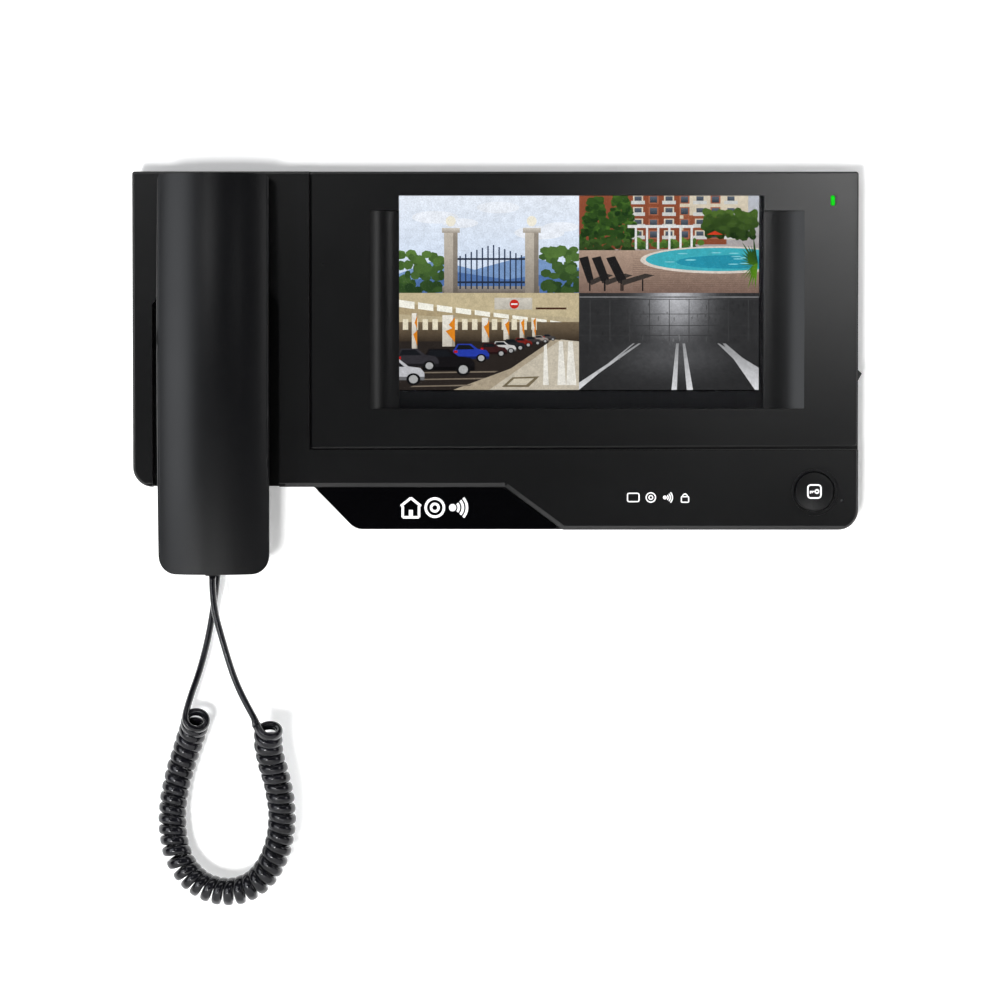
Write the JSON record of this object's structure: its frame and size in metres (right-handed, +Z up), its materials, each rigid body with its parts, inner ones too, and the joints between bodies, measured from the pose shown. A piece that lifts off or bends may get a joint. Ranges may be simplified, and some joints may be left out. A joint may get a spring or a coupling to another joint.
{
  "type": "video intercom monitor",
  "caption": "Wall-mounted indoor video intercom monitor with a corded handset in a side cradle, a wide colour screen, a door release button and a curly cord.",
  "frame": {"origin": "centre of the wall bracket's four screw holes, on the wall plane", "axes": "+Z up, +X to the right when facing the front, +Y into the wall; the front faces -Y"},
  "size_m": [0.3159, 0.062, 0.3194],
  "materials": {
    "front_plastic": "fine satin texture",
    "rear_plastic": "fine matte texture",
    "panel_plastic": "satin",
    "handset_plastic": "satin",
    "button_plastic": "satin",
    "gloss_plate": "polished",
    "window": "clear acrylic",
    "lcd_glass": "polished, switched on",
    "steel": "zinc plated",
    "screw_steel": "zinc plated",
    "white_plastic": "matte",
    "circuit_board": "solder mask",
    "chip_plastic": "moulded epoxy",
    "can_aluminium": "drawn can",
    "terminal_green": "moulded",
    "brass": "plated",
    "copper_flex": "polyimide film",
    "ferrite": "lacquered core with taped winding",
    "fuse_glass": "clear tube with metal caps",
    "wire_pvc": "insulated wires",
    "cone_paper": "pressed pulp",
    "rubber": "moulded",
    "foam": "closed cell foam",
    "led_green": "lit green light pipe",
    "cord_pvc": "smooth polyurethane jacket"
  },
  "bodies": {
    "base": {"wall_bracket": "steel", "bracket_lock_screw": "screw_steel", "rear_housing": "rear_plastic", "front_housing": "front_plastic", "cradle_housing": "front_plastic", "housing_screws": "screw_steel", "gloss_plate": "gloss_plate", "screen_panel": "panel_plastic", "screen_window": "window", "lcd_frame": "steel", "lcd_cell": "lcd_glass", "lcd_backlight": "white_plastic", "lcd_bracket": "steel", "lcd_screws": "screw_steel", "lcd_ribbon": "copper_flex", "main_pcb": "circuit_board", "main_chips": "chip_plastic", "main_capacitors": "can_aluminium", "main_connectors": "white_plastic", "terminal_block": "terminal_green", "terminal_screws": "brass", "pcb_screws": "screw_steel", "power_pcb": "circuit_board", "power_transformer": "ferrite", "power_capacitors": "can_aluminium", "power_fuse": "fuse_glass", "door_relay": "chip_plastic", "board_harness": "wire_pvc", "ring_speaker": "steel", "ring_speaker_cone": "cone_paper", "base_microphone": "can_aluminium", "microphone_boot": "rubber", "led_light_pipe": "led_green", "indicator_led": "white_plastic", "led_board": "circuit_board", "release_switch": "chip_plastic", "button_board": "circuit_board", "volume_slide_pot": "steel", "hook_switch": "chip_plastic", "base_cord_gland": "rubber", "base_lead": "cord_pvc", "coiled_cord": "cord_pvc", "handset_lead": "cord_pvc"},
    "handset": {"handset_front_shell": "handset_plastic", "handset_rear_shell": "handset_plastic", "earpiece_grille": "handset_plastic", "earpiece_gasket": "foam", "earpiece_speaker": "steel", "handset_microphone": "can_aluminium", "handset_microphone_boot": "rubber", "handset_weight": "steel", "handset_screws": "screw_steel", "handset_strain_relief": "rubber"},
    "hook_plunger": {"hook_plunger": "button_plastic"},
    "door_release": {"release_button": "button_plastic", "release_switch_plunger": "white_plastic"},
    "volume_slider": {"volume_slider_knob": "button_plastic"}
  },
  "joints": [
    {"name": "handset_lift", "type": "slide", "parent": "base", "child": "handset", "axis": [0, -0.9397, 0.342], "range_m": [0, 0.055]},
    {"name": "hook_plunger_slide", "type": "slide", "parent": "base", "child": "hook_plunger", "axis": [0, -1, 0], "range_m": [0, 0.003]},
    {"name": "door_release_press", "type": "slide", "parent": "base", "child": "door_release", "axis": [0, 1, 0], "range_m": [0, 0.001], "stiffness_N_per_m": 600, "springref_m": -0.001},
    {"name": "volume_slide", "type": "slide", "parent": "base", "child": "volume_slider", "axis": [0, 0, 1], "range_m": [-0.004, 0.004]}
  ],
  "couplings": [
    {"joint": "hook_plunger_slide", "follows": "handset_lift", "ratio": 0.054}
  ]
}
